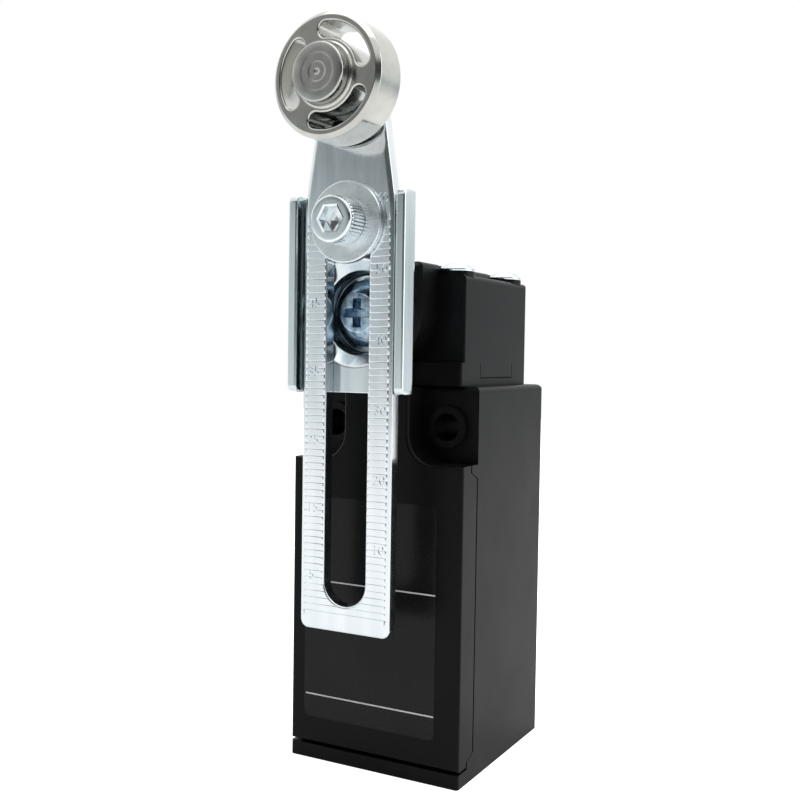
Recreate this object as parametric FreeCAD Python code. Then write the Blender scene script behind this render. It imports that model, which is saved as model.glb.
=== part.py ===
"""Roller lever limit switch with a plastic housing and a lever of adjustable length.

Frame: the mounting face is the plane Y = 0 and the front looks along -Y, X goes across and Z is up.
The origin lies on the mounting face, midway between the two mounting holes. A depth is measured
forward from the mounting face, so a point at depth d has Y = -d. A height is a Z. All in mm.
"""
import FreeCAD, Part
import math
import os

V = FreeCAD.Vector
ORIGIN = V(0, 0, 0)
ACROSS = V(1, 0, 0)
BACKWARD = V(0, 1, 0)
UP = V(0, 0, 1)

# Housing
body_width = 30.0
body_height = 60.3
housing_depth = 26.3          # mounting face to the joint with the cover
side_wall = 3.0
back_wall = 2.0
edge_round = 0.3              # upright edges at the back
front_round = 0.5             # upright edges at the front, and the rim of the cover
rim_round = 1.0               # top of the ears
hole_drop = 6.3               # mounting holes below the top of the ears
hole_spacing = 20.0
hole_diameter = 4.3
hole_seat_diameter = 6.4      # raised seats of the mounting screws
hole_seat_height = 1.0
pocket_height = 11.8          # mounting pockets, down from the top of the ears
pocket_round = 4.4
lip_height = 2.2              # sill of the housing below the cover
pry_gap = 0.4                 # slot between sill and cover, for the tool that opens it
ledge_depth = 2.2             # how far the housing steps forward above and below the cover's sides
ledge_land = 1.1
ledge_slope = 1.0             # height of the slopes that lead back from these steps
chamber_round = 1.5
entry_diameter = 18.376       # minor diameter of an M20 x 1.5 thread
entry_length = 10.0
entry_wall = 2.6              # housing in front of the cable entry
entry_chamfer = 0.8
shelf_height = 1.5            # shelves below the contact block
shelf_reach = 1.5
shelf_depth = 7.0

# Cover
cover_depth = 5.4             # joint to the front of the cover
cover_wall = 2.0
seam_width = 0.35             # groove along the joint, in the two sides of the switch
seam_depth = 0.5
column_width = 11.4           # part of the cover that stands between the two pockets
gasket_width = 1.2            # seals of the cover and the head
gasket_height = 1.0
tongue_width = 8.0            # snap tongues on the back of the cover
tongue_depth = 1.6
tongue_height = 1.4
tongue_drop = 3.6             # lower tongue below the floor of the chamber
tongue_rise = 3.0             # upper tongue above the floor of the pockets

# Turret that carries the head, and the head
head_width = 24.6
head_back = 1.5
head_height = 13.55           # turret to the shoulders
head_round = 0.4              # upright edges of the turret and the head
head_corner = 0.8
turret_height = 3.6
turret_lip = 1.0              # turret in front of the head
spine_height = 1.6            # above the shoulders
boss_wall = 0.7               # around the seal of the shaft
boss_proud = 0.3              # shaft boss in front of the cover
boss_chamfer = 0.7
key_width = 12.5
key_height = 2.3
key_depth = 1.2
key_gap = 0.15
key_wall = 1.0                # between the keys and the groove of the head's seal
well_wall = 0.2               # between the head screws and that groove
head_screw_inset = 2.9        # from the sides of the head
pad_diameter = 5.6            # raised pads below the heads of these screws
pad_height = 0.55
head_screw_grip = 3.4         # thread below the top of the ears

# Shaft, cam and plunger
axis_rise = 10.8              # shaft axis above the top of the ears
shaft_diameter = 10.0
shaft_proud = 0.5             # shoulder of the shaft in front of the boss
shaft_tail_diameter = 6.0
tail_wall = 1.2               # wall behind the tail of the shaft
spigot_diameter = 10.0
spigot_width = 8.4            # across the two flats that drive the lever
shaft_screw_length = 12.0
cam_seat_diameter = 8.0
cam_seat_flat = 3.2           # axis to the flat of the cam's seat
bush_wall = 1.0
bush_inset = 6.6              # front of the head to the back of the bush
seal_wall = 1.9
seal_depth = 2.0
seal_inset = 0.2
cam_radius = 6.0
cam_flat = 5.6                # axis to the cam's resting flat
cam_length = 11.2
cam_room = 0.5                # around the cam
circlip_thickness = 0.8
circlip_inner = 3.3
circlip_outer = 5.4
circlip_mouth = 3.0
circlip_room = 2.2            # behind the cam
plunger_travel = 2.5
plunger_reach = 1.5           # foot of the stem below the ceiling of the chamber
plunger_head_diameter = 10.4
plunger_head_height = 1.8
plunger_stem_diameter = 4.0
spring_wire = 0.9             # square wire
spring_turns = 3
sleeve_diameter = 10.0
sleeve_bore = 7.8
sleeve_floor = 1.4
sleeve_inset = 0.2            # above the ceiling of the chamber
sleeve_flange = 1.4
sleeve_flange_diameter = 12.6

# Lever
sheet = 1.5                   # thickness of the bracket
bracket_low = -11.9           # from the shaft axis
bracket_high = 17.3
bracket_depth = 8.9           # shoulder of the shaft to the edges of the flanges
bend_round = 0.4              # inside of the folds
sheet_round = 0.3             # edges of the flanges
flange_corner = 1.0           # upper and lower front corners of the flanges
dish_mouth_radius = 8.2
dish_floor_radius = 6.0
dish_step = 0.7               # straight wall above the floor of the dish
dish_wall = 1.2
dish_parts = 3                # straight parts of the arc
flange_proud = 1.0            # flanges in front of the arm
arm_play = 0.7                # between the arm and each flange
arm_thickness = 2.1
arm_width = 15.3
arm_tail = 47.4               # below the shaft axis
arm_shoulder = 15.4           # above the shaft axis, where the arm begins to taper
arm_shoulder_round = 6.0
arm_tip_radius = 4.4
arm_tip_round = 4.2
arm_corner = 1.3
slot_width = 7.2
slot_low = 43.5               # end of the slot below the shaft axis
clamp_height = 13.0           # clamp screw above the shaft axis
nut_thread = 0.6              # of the clamp screw behind its nut
socket_width = 3.0
socket_depth = 2.0

# Roller
roller_height = 32.65         # roller axis above the shaft axis, lever at its shortest
roller_diameter = 17.7
roller_width = 6.2
roller_stand = 0.7            # arm to roller
roller_edge = 0.3
hub_radius = 4.5
hub_height = 0.2              # above the face of the roller
roller_slots = 3
roller_slot_inner = 5.2
roller_slot_outer = 7.4
roller_slot_angle = 74.0      # between the centres of a slot's round ends
roller_slot_first = 53.0
rivet_diameter = 6.0
rivet_head_diameter = 8.3
rivet_head_height = 1.7
rivet_tail_height = 1.2

# Contact block
block_drop = 5.5              # ceiling of the wiring chamber to the top of the block
block_height = 22.0
block_reach = 3.2             # front of the block beyond the axis of the plunger
block_round = 1.0
channel_half = 6.2            # channel for the slider and the moving contacts
channel_depth = 8.0
channel_floor = 1.2
barrier_height = 1.6          # barriers between the upper and lower terminals
barrier_depth = 3.5
terminal_drop = 5.5           # upper terminals below the top of the block
terminal_pitch = 10.0
terminal_spacing = 17.2
terminal_width = 5.2
terminal_height = 6.0
terminal_screw_length = 6.0
strip = 1.0                   # thickness of the terminals
tab_inner = 2.6               # inner end of the terminals, from the middle
clamp_plate = 0.8
bridge = 0.6                  # thickness of the moving contacts
bridge_half = 5.4
bridge_depth = 2.2
bridge_behind = 0.4           # middle of the moving contacts behind the axis of the plunger
slider_width = 4.0
slider_inset = 1.2            # behind the front of the block
slider_drop = 0.6             # below the top of the block
slider_post_diameter = 3.4
rail_width = 2.0              # guide rail on the back of the slider
rail_depth = 2.0
closed_gap = 0.2              # under a closed contact
open_gap = plunger_travel + 0.1
window_play = 0.1
spring_room = 2.4             # height of a leaf spring at rest
leaf = 0.25                   # thickness of a leaf spring
leaf_overhang = 1.2

# Fasteners: thread, head diameter and head height
M3 = (3.0, 5.5, 1.4)
M4_CAP = (4.0, 7.0, 4.0)
M4_NUT = (7.0, 3.2)           # across flats and height
M4_WASHER = (12.0, 1.0)
M5 = (5.0, 10.0, 3.8)
M5_CROWN = 2.1                # height and width of the slope round the pan head
fastener_chamfer = 0.3

# Clearances
running_gap = 0.05            # radial, between a shaft and its bore
fixed_gap = 0.05
sliding_gap = 0.05            # between the arm and what it slides on
hole_play = 0.1               # radial, between a screw and the hole that it passes through
seat_gap = 0.1                # left so that a screw or rivet clamps its own piece
moving_gap = 0.3              # between pieces that pass each other

# How far a cutting shape reaches past the material, and a fused one into its neighbour
over = 1.0
bite = 0.5

# Derived places of the housing and the cover
bottom = hole_drop - body_height
ear_top = hole_drop
pocket_floor = ear_top - pocket_height
cover_front = housing_depth + cover_depth
cover_bottom = bottom + lip_height + pry_gap
column_top = ear_top - moving_gap
ledge_front = housing_depth + ledge_depth
chamber_width = body_width - 2 * side_wall
chamber_floor = bottom + entry_length
chamber_ceiling = pocket_floor - cover_wall
entry_radius = entry_diameter / 2
entry_depth = housing_depth - entry_wall - entry_radius

# Derived places of the head
turret_top = ear_top + turret_height
head_front = head_back + head_width
head_centre = head_back + head_width / 2
head_screw_pitch = head_width - 2 * head_screw_inset
turret_front = head_front + turret_lip
shoulder = turret_top + head_height
pad_top = shoulder + pad_height
spine_top = shoulder + spine_height
spine_width = shaft_diameter + 2 * (seal_wall + boss_wall)
boss_front = cover_front + boss_proud
axis_height = ear_top + axis_rise
bush_back = head_front - bush_inset
seal_back = boss_front - seal_depth
cavity_back = bush_back - cam_length - 2 * moving_gap - circlip_room
cavity_radius = cam_radius + cam_room
cam_front = bush_back - moving_gap
cam_back = cam_front - cam_length
plunger_top = axis_height - cam_radius - moving_gap
plunger_foot = chamber_ceiling - plunger_reach
seat_height = plunger_top - plunger_head_height - plunger_travel - moving_gap - sleeve_flange
sleeve_foot = chamber_ceiling + sleeve_inset

# Derived places of the lever
shaft_front = boss_front + shaft_proud
dish_floor = shaft_front + sheet
bracket_width = arm_width + 2 * (arm_play + sheet)
bracket_front = shaft_front + bracket_depth
arm_front = bracket_front - flange_proud
arm_back = arm_front - arm_thickness
web_front = arm_back - sliding_gap
web_back = web_front - sheet
washer_back = arm_front + sliding_gap
roller_back = arm_front + roller_stand
roller_front = roller_back + roller_width
clamp_z = axis_height + clamp_height
roller_z = axis_height + roller_height

# Derived places of the contact block
block_top = chamber_ceiling - block_drop
block_low = block_top - block_height
block_front = head_centre + block_reach
channel_back = block_front - channel_depth
slider_back = channel_back + moving_gap
slider_front = block_front - slider_inset
slider_tip = plunger_foot - moving_gap
bridge_back = head_centre - bridge_behind - bridge_depth / 2
bridge_front = bridge_back + bridge_depth


def slab(left, right, back, front, low, high):
    """Block between two X, two depths and two heights."""
    return Part.makeBox(right - left, front - back, high - low, V(left, -front, low))


def centred(width, back, front, low, high):
    """Block centred across the width."""
    return slab(-width / 2, width / 2, back, front, low, high)


def rod(radius, back, front, x=0, z=0):
    """Cylinder along the depth."""
    return Part.makeCylinder(radius, front - back, V(x, -back, z), -BACKWARD)


def post(radius, low, high, x=0, depth=0):
    """Upright cylinder."""
    return Part.makeCylinder(radius, high - low, V(x, -depth, low))


def turned(profile, z):
    """Solid of revolution about a line along the depth at height z, from (radius, depth) points."""
    points = [V(radius, -depth, z) for radius, depth in profile]
    face = Part.Face(Part.makePolygon(points + points[:1]))
    return face.revolve(V(0, 0, z), BACKWARD, 360)


def turned_up(profile, depth=0):
    """Solid of revolution about an upright line, from (radius, height) points."""
    points = [V(radius, -depth, height) for radius, height in profile]
    face = Part.Face(Part.makePolygon(points + points[:1]))
    return face.revolve(V(0, -depth, 0), UP, 360)


def ring(inner, outer, back, front, z):
    """Plain ring about a line along the depth."""
    return turned([(inner, back), (outer, back), (outer, front), (inner, front)], z)


def rounded_wire(corners, place):
    """Closed wire through corners (a, b, rounding), put in space by place(a, b)."""
    edges = []
    joints = []
    for index, (a, b, rounding) in enumerate(corners):
        corner = V(a, b, 0)
        before = V(*corners[index - 1][:2], 0) - corner
        after = V(*corners[(index + 1) % len(corners)][:2], 0) - corner
        before.normalize()
        after.normalize()
        half = before.getAngle(after) / 2
        reach = rounding / math.tan(half)
        middle = before + after
        if rounding > 0:
            middle.normalize()
            middle = corner + middle * (rounding / math.sin(half) - rounding)
        joints.append((corner + before * reach, middle, corner + after * reach, rounding))
    for index, (start, middle, end, rounding) in enumerate(joints):
        last = joints[index - 1][2]
        if last.distanceToPoint(start) > 1e-6:
            edges.append(Part.makeLine(place(last.x, last.y), place(start.x, start.y)))
        if rounding > 0:
            points = [place(point.x, point.y) for point in (start, middle, end)]
            edges.append(Part.Arc(*points).toShape())
    return Part.Wire(edges)


def plate(corners, back, front):
    """Plate of constant thickness along the depth, from (x, height, rounding) corners."""
    wire = rounded_wire(corners, lambda a, b: V(a, -back, b))
    return Part.Face(wire).extrude(V(0, back - front, 0))


def bar(corners, low, high):
    """Upright bar, from (x, depth, rounding) corners."""
    wire = rounded_wire(corners, lambda a, b: V(a, -b, low))
    return Part.Face(wire).extrude(V(0, 0, high - low))


def side_bar(corners, width):
    """Bar across the width, from (depth, height, rounding) corners."""
    wire = rounded_wire(corners, lambda a, b: V(-width / 2, -a, b))
    return Part.Face(wire).extrude(V(width, 0, 0))


def rectangle(left, right, low, high, rounding):
    """Corners of a rounded rectangle."""
    return [(left, low, rounding), (right, low, rounding), (right, high, rounding), (left, high, rounding)]


def both_sides(corners):
    """Right half of a symmetric outline, from the bottom up, completed with its mirror image."""
    return corners + [(-a, b, rounding) for a, b, rounding in reversed(corners)]


def front_rim(shape, depth):
    """Edges of a shape that lie in its front face."""
    return [edge for edge in shape.Edges
            if all(abs(vertex.Point.y + depth) < 1e-3 for vertex in edge.Vertexes)]


def plain_screw(size, length):
    """Screw along Z with a plain round head, whose seat is at height 0."""
    thread, head_diameter, height = size
    head = Part.makeCylinder(head_diameter / 2, height)
    return head.fuse(Part.makeCylinder(thread / 2, length, V(0, 0, -length))).removeSplitter()


def facing_front(shape, x, depth, z):
    """Turns a piece made along Z so that it points to the front, and puts it in place."""
    turned_piece = shape.copy()
    turned_piece.rotate(ORIGIN, ACROSS, 90)
    turned_piece.translate(V(x, -depth, z))
    return turned_piece


def moved(shape, x=0, depth=0, z=0):
    """Copy of a piece, shifted."""
    copy = shape.copy()
    copy.translate(V(x, -depth, z))
    return copy


def hexagon(across_flats, height):
    """Hexagonal prism on the XY plane."""
    corner = across_flats / math.sqrt(3)
    points = [V(corner * math.cos(turn), corner * math.sin(turn), 0)
              for turn in [math.radians(60 * side) for side in range(7)]]
    return Part.Face(Part.makePolygon(points)).extrude(V(0, 0, height))


def coil_spring(mean_radius, low, high, depth):
    """Compression spring of square wire with an upright axis."""
    rise = high - low - spring_wire
    helix = Part.Wire(Part.makeHelix(rise / spring_turns, rise, mean_radius))
    half = spring_wire / 2
    around = [(-half, -half), (half, -half), (half, half), (-half, half), (-half, -half)]
    section = Part.makePolygon([V(mean_radius + a, 0, b) for a, b in around])
    return moved(helix.makePipeShell([section], True, True), 0, depth, low + half)


# The outlines that several pieces share

def joint_profile(front):
    """Side view of the housing below the turret, with its ledges above and below the cover."""
    low = bottom + lip_height
    return [(0, bottom, 0), (front, bottom, 0), (front, low, 0), (ledge_front, low, 0),
            (ledge_front, low + ledge_land, 0), (housing_depth, low + ledge_land + ledge_slope, 0),
            (housing_depth, pocket_floor - ledge_land - ledge_slope, 0),
            (ledge_front, pocket_floor - ledge_land, 0), (ledge_front, pocket_floor, 0),
            (housing_depth, pocket_floor, 0), (housing_depth, ear_top, 0), (0, ear_top, 0)]


def chamber_outline(grow=0.0):
    """Opening of the wiring chamber, seen from the front."""
    half = chamber_width / 2 + grow
    return rectangle(-half, half, chamber_floor - grow, chamber_ceiling + grow, chamber_round + grow)


def screw_places():
    """The four head screws on a square about the middle of the head, as (x, depth)."""
    half = head_screw_pitch / 2
    return [(x, head_centre + depth) for x in (-half, half) for depth in (-half, half)]


def key_places(grow=0.0):
    """Four keys, one in each side of the turret, that fix the direction of the head."""
    half = head_width / 2
    reach = half - key_depth - grow
    wide = key_width / 2 + grow
    low = turret_top - key_height - grow
    side = slab(reach, half, head_centre - wide, head_centre + wide, low, turret_top)
    keys = []
    for turn in range(4):
        key = side.copy()
        key.rotate(V(0, -head_centre, 0), UP, 90 * turn)
        keys.append(key)
    return keys


def turret_well(grow=0.0):
    """Outline of the well in the turret, seen from above, as (x, depth, rounding)."""
    half_width = head_screw_pitch / 2 - M3[0] / 2 - well_wall - gasket_width + grow
    half_depth = head_width / 2 - key_depth - key_wall - gasket_width + grow
    return rectangle(-half_width, half_width, head_centre - half_depth, head_centre + half_depth, 0)


def tongue_places():
    """Heights of the cover's lower and upper snap tongues, at their lower faces."""
    return [chamber_floor - tongue_drop, pocket_floor + tongue_rise]


def housing():
    body = side_bar(joint_profile(cover_front), body_width)
    top_edges = [edge for edge in body.Edges if all(vertex.Z > ear_top - 1e-3 for vertex in edge.Vertexes)]
    body = body.makeFillet(rim_round, top_edges)
    half = body_width / 2
    body = body.common(bar([(-half, 0, edge_round), (half, 0, edge_round), (half, cover_front, front_round),
                            (-half, cover_front, front_round)], bottom, ear_top))
    half = head_width / 2
    body = body.fuse(bar(rectangle(-half, half, head_back, turret_front, head_round), ear_top, turret_top))
    hole_places = (-hole_spacing / 2, hole_spacing / 2)
    for x in hole_places:
        body = body.fuse(rod(hole_seat_diameter / 2, housing_depth - bite, housing_depth + hole_seat_height, x))
    body = body.cut(plate(chamber_outline(), back_wall, ledge_front + over))
    body = body.cut(plate(chamber_outline(gasket_width), housing_depth, ledge_front + over))
    cuts = [bar(turret_well(), seat_height, turret_top + over)]
    cuts.append(bar(turret_well(gasket_width), turret_top - gasket_height, turret_top + over))
    cuts.append(post(sleeve_diameter / 2 + fixed_gap, chamber_ceiling - over, seat_height + over,
                     0, head_centre))
    cuts.append(post(entry_radius, bottom - over, chamber_floor + over, 0, entry_depth))
    cuts.append(turned_up([(0, bottom - over), (entry_radius + entry_chamfer + over, bottom - over),
                           (entry_radius, bottom + entry_chamfer), (0, bottom + entry_chamfer)], entry_depth))
    for x in hole_places:
        cuts.append(rod(hole_diameter / 2, -over, ledge_front + over, x))
    for x, depth in screw_places():
        cuts.append(post(M3[0] / 2 + fixed_gap, ear_top - head_screw_grip - seat_gap, turret_top + over,
                         x, depth))
    cuts.extend(key_places(key_gap))
    for low in tongue_places():
        cuts.append(centred(tongue_width + 2 * moving_gap, housing_depth - tongue_depth - moving_gap,
                            ledge_front + over, low - moving_gap, low + tongue_height + moving_gap))
    body = body.cut(Part.makeCompound(cuts))
    shelves = []
    for wall in (-chamber_width / 2, chamber_width / 2):
        shelves.append(slab(wall - shelf_reach, wall + shelf_reach, back_wall - bite, back_wall + shelf_depth,
                            block_low - shelf_height, block_low))
    return body.fuse(shelves).removeSplitter()


def front_cover():
    half = body_width / 2
    column = column_width / 2
    outline = both_sides([(half, cover_bottom, 0), (half, pocket_floor, 0),
                          (column, pocket_floor, pocket_round), (column, column_top, 0)])
    cover = plate(outline, housing_depth, cover_front)
    cover = cover.makeFillet(front_round, front_rim(cover, cover_front))
    behind = side_bar(joint_profile(cover_front), body_width + 2 * over)
    cover = cover.cut(behind)
    between = centred(body_width - 2 * seam_depth, 0, cover_front + over, bottom, ear_top)
    cover = cover.cut(moved(behind, 0, seam_width).cut(between))
    inside = plate(chamber_outline(), housing_depth - over, cover_front - cover_wall)
    seat = plate(chamber_outline(gasket_width), housing_depth - over, housing_depth + gasket_height)
    column_hollow = centred(column_width - 2 * cover_wall, housing_depth - over, cover_front - cover_wall,
                            chamber_ceiling - over, column_top - cover_wall)
    cover = cover.cut(Part.makeCompound([inside, seat, column_hollow]))
    back = housing_depth - tongue_depth
    tongues = [centred(tongue_width, back, cover_front - over, low, low + tongue_height)
               for low in tongue_places()]
    return cover.fuse(tongues).removeSplitter()


def cover_gasket():
    outer = plate(chamber_outline(gasket_width), housing_depth, housing_depth + gasket_height)
    return outer.cut(plate(chamber_outline(), housing_depth - over, ledge_front + over))


# Head

def head_housing():
    half = head_width / 2
    spine = spine_width / 2
    outline = both_sides([(half, turret_top, 0), (half, shoulder, head_corner), (spine, shoulder, 0),
                          (spine, spine_top, head_corner)])
    around = bar(rectangle(-half, half, head_back, head_front, head_round), turret_top - over, spine_top + over)
    head = plate(outline, head_back, head_front).common(around)
    arch = both_sides([(spine, axis_height - spine, spine - 0.01), (spine, spine_top, head_corner)])
    boss = plate(arch, head_front - over, boss_front)
    head = head.fuse(boss.makeChamfer(boss_chamfer, front_rim(boss, boss_front)))
    head = head.cut(centred(spine_width + over, 0, turret_front + fixed_gap, ear_top, turret_top))
    head = head.fuse(key_places())
    head = head.fuse([post(pad_diameter / 2, shoulder - bite, pad_top, x, depth) for x, depth in screw_places()])
    cuts = [centred(2 * cavity_radius, cavity_back, bush_back, turret_top - key_height - over, axis_height)]
    cuts.append(rod(cavity_radius, cavity_back, bush_back, 0, axis_height))
    cuts.append(rod(shaft_diameter / 2 + bush_wall + fixed_gap, bush_back - over, boss_front + over,
                    0, axis_height))
    cuts.append(rod(shaft_diameter / 2 + seal_wall + fixed_gap, seal_back, boss_front + over, 0, axis_height))
    cuts.append(rod(shaft_tail_diameter / 2 + running_gap, head_back + tail_wall, cavity_back + over,
                    0, axis_height))
    for x, depth in screw_places():
        cuts.append(post(M3[0] / 2 + hole_play, turret_top - over, spine_top + over, x, depth))
        cuts.append(post(M3[1] / 2 + moving_gap, pad_top, spine_top + over, x, depth))
    return head.cut(Part.makeCompound(cuts)).removeSplitter()


def head_gasket():
    outer = bar(turret_well(gasket_width), turret_top - gasket_height, turret_top)
    return outer.cut(bar(turret_well(), turret_top - 2 * gasket_height, turret_top + over))


def head_screws():
    screw = plain_screw(M3, pad_top - ear_top + head_screw_grip)
    return Part.makeCompound([moved(screw, x, depth, pad_top) for x, depth in screw_places()])


def shaft_bush():
    inner = shaft_diameter / 2 + running_gap
    return ring(inner, shaft_diameter / 2 + bush_wall, bush_back, seal_back, axis_height)


def shaft_seal():
    inner = shaft_diameter / 2 + running_gap
    return ring(inner, shaft_diameter / 2 + seal_wall, seal_back, boss_front - seal_inset, axis_height)


def plunger_guide():
    outer = sleeve_diameter / 2
    flange = sleeve_flange_diameter / 2
    bore = sleeve_bore / 2
    stem = plunger_stem_diameter / 2 + running_gap
    top = seat_height + sleeve_flange
    floor = sleeve_foot + sleeve_floor
    return turned_up([(stem, sleeve_foot), (outer, sleeve_foot), (outer, seat_height), (flange, seat_height),
                      (flange, top), (bore, top), (bore, floor), (stem, floor)], head_centre)


# Shaft, cam and plunger

def shaft_flats(back, front, grow=0.0):
    """Shaft end with two flats that drives the bracket."""
    radius = spigot_diameter / 2 + grow
    flats = centred(spigot_width + 2 * grow, back, front, axis_height - radius, axis_height + radius)
    return rod(radius, back, front, 0, axis_height).common(flats)


def cam_seat(back, front, grow=0.0):
    """Round seat with one flat, on which the cam can't turn."""
    radius = cam_seat_diameter / 2 + grow
    below_flat = centred(2 * radius, back, front, axis_height - radius, axis_height + cam_seat_flat + grow)
    return rod(radius, back, front, 0, axis_height).common(below_flat)


def lever_shaft():
    seat_back = cavity_back + moving_gap
    tail = rod(shaft_tail_diameter / 2, head_back + tail_wall + moving_gap, seat_back, 0, axis_height)
    seat = cam_seat(seat_back, cam_front)
    journal = rod(shaft_diameter / 2, cam_front, shaft_front, 0, axis_height)
    spigot = shaft_flats(shaft_front, dish_floor - seat_gap)
    shaft = tail.fuse([seat, journal, spigot]).removeSplitter()
    groove = cam_back - circlip_thickness - fixed_gap
    shaft = shaft.cut(ring(circlip_inner, cam_seat_diameter, groove, cam_back, axis_height))
    return shaft.cut(rod(M5[0] / 2 + fixed_gap, dish_floor - shaft_screw_length - over, dish_floor + over,
                         0, axis_height))


def shaft_circlip():
    whole = ring(circlip_inner + fixed_gap, circlip_outer, cam_back - circlip_thickness, cam_back, axis_height)
    return whole.cut(centred(circlip_mouth, 0, cover_front, axis_height - 2 * circlip_outer, axis_height))


def cam():
    body = rod(cam_radius, cam_back, cam_front, 0, axis_height)
    body = body.common(centred(2 * cam_radius, cam_back, cam_front, axis_height - cam_flat,
                               axis_height + cam_radius))
    return body.cut(cam_seat(cam_back - over, cam_front + over, fixed_gap))


def plunger():
    head = plunger_head_diameter / 2
    stem = plunger_stem_diameter / 2
    under = plunger_top - plunger_head_height
    return turned_up([(0, plunger_foot), (stem, plunger_foot), (stem, under), (head, under),
                      (head, plunger_top), (0, plunger_top)], head_centre)


def plunger_spring():
    mean = (sleeve_bore / 2 + plunger_stem_diameter / 2) / 2
    return coil_spring(mean, sleeve_foot + sleeve_floor, plunger_top - plunger_head_height, head_centre)


# Contact block

def terminal_heights():
    """Heights of the two terminal rows: contacts that close, then contacts that open."""
    upper = block_top - terminal_drop
    return upper, upper - terminal_pitch


def bridge_heights():
    """Lower faces of the two moving contacts at rest."""
    upper, lower = terminal_heights()
    closing = upper - terminal_height / 2 + strip + open_gap
    opening = lower + terminal_height / 2 - strip - closed_gap - bridge
    return closing, opening


def terminal_places():
    return [(side * terminal_spacing / 2, height) for side in (-1, 1) for height in terminal_heights()]


def contact_block():
    half = chamber_width / 2 - moving_gap
    block = plate(rectangle(-half, half, block_low, block_top, block_round), back_wall, block_front)
    middle = sum(terminal_heights()) / 2
    barriers = []
    for left, right in ((-half, -channel_half), (channel_half, half)):
        barriers.append(slab(left, right, block_front - bite, block_front + barrier_depth,
                             middle - barrier_height / 2, middle + barrier_height / 2))
    block = block.fuse(barriers)
    cuts = [centred(2 * channel_half, channel_back, block_front + over, block_low + channel_floor,
                    block_top + over)]
    cuts.append(centred(rail_width + 2 * moving_gap, channel_back - rail_depth - moving_gap,
                        channel_back + over, block_low - over, block_top + over))
    cuts.append(centred(slider_width + 2 * moving_gap, channel_back, block_front + over, block_low - over,
                        block_top))
    for x, z in terminal_places():
        cuts.append(rod(M3[0] / 2 + fixed_gap, block_front - terminal_screw_length, block_front + over, x, z))
    return block.cut(Part.makeCompound(cuts)).removeSplitter()


def terminal(side, z, closes):
    """Bent strip: a pad for the wire on the block's front and a tab that reaches into the channel."""
    outer = terminal_spacing / 2 + terminal_width / 2
    half = terminal_height / 2
    front = block_front + strip
    pad = slab(channel_half, outer, block_front, front, z - half, z + half)
    low = z - half if closes else z + half - strip
    neck = slab(tab_inner, channel_half, block_front, front, low, low + strip)
    tab = slab(tab_inner, channel_half - moving_gap, bridge_back, front, low, low + strip)
    hole = rod(M3[0] / 2 + fixed_gap, 0, cover_front, terminal_spacing / 2, z)
    piece = pad.fuse([neck, tab]).cut(hole).removeSplitter()
    return piece if side > 0 else piece.mirror(ORIGIN, ACROSS)


def fixed_contacts():
    upper, lower = terminal_heights()
    return Part.makeCompound([terminal(side, z, z == upper) for side in (-1, 1) for z in (upper, lower)])


def terminal_clamps():
    half = terminal_width / 2
    front = block_front + strip
    clamps = []
    for x, z in terminal_places():
        clamp = slab(x - half, x + half, front, front + clamp_plate, z - half, z + half)
        clamps.append(clamp.cut(rod(M3[0] / 2 + fixed_gap, 0, cover_front, x, z)))
    return Part.makeCompound(clamps)


def terminal_screws():
    screw = plain_screw(M3, terminal_screw_length)
    seat = block_front + strip + clamp_plate
    return Part.makeCompound([facing_front(screw, x, seat, z) for x, z in terminal_places()])


def contact_slider():
    low = block_low + plunger_travel + moving_gap
    high = block_top - slider_drop
    body = centred(slider_width, slider_back, slider_front, low, high)
    body = body.fuse(centred(rail_width, channel_back - rail_depth, slider_back + bite, low, high))
    body = body.fuse(post(slider_post_diameter / 2, high - bite, slider_tip, 0, head_centre))
    closing, opening = bridge_heights()
    depths = (bridge_back - window_play, bridge_front + window_play)
    above = centred(slider_width + over, *depths, closing, closing + bridge + spring_room)
    below = centred(slider_width + over, *depths, opening - spring_room, opening + bridge)
    return body.cut(Part.makeCompound([above, below])).removeSplitter()


def moving_contacts():
    bridges = [slab(-bridge_half, bridge_half, bridge_back, bridge_front, low, low + bridge)
               for low in bridge_heights()]
    return Part.makeCompound(bridges)


def leaf_spring(base, side):
    """Bowed leaf between the level base and the window's end, above it for side 1 and below for -1."""
    half = slider_width / 2 + leaf_overhang
    rise = side * (spring_room - leaf)
    start = V(-half, -bridge_front, base)
    end = V(half, -bridge_front, base)
    thick = V(0, 0, side * leaf)
    inner = Part.Arc(start, V(0, -bridge_front, base + rise), end).toShape()
    outer = inner.copy()
    outer.translate(thick)
    ends = [Part.makeLine(start, start + thick), Part.makeLine(end, end + thick)]
    face = Part.Face(Part.Wire([inner, ends[1], outer, ends[0]]))
    return face.extrude(V(0, bridge_depth, 0))


def contact_springs():
    """They press each moving contact against the edge of its window."""
    closing, opening = bridge_heights()
    return Part.makeCompound([leaf_spring(closing + bridge, 1), leaf_spring(opening, -1)])


# Lever

def dish_room():
    """Room inside the deep-drawn dish: its wall starts straight and flares out to the web in an arc."""
    flare = dish_mouth_radius - dish_floor_radius
    foot = dish_floor + dish_step
    rise = web_front - foot
    radius = (flare ** 2 + rise ** 2) / (2 * flare)
    turn = math.asin(rise / radius)
    wall = [(dish_floor_radius + radius - radius * math.cos(turn * part / dish_parts),
             foot + radius * math.sin(turn * part / dish_parts)) for part in range(dish_parts + 1)]
    return turned([(0, dish_floor), (dish_floor_radius, dish_floor)] + wall
                  + [(dish_mouth_radius, bracket_front), (0, bracket_front)], axis_height)


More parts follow.
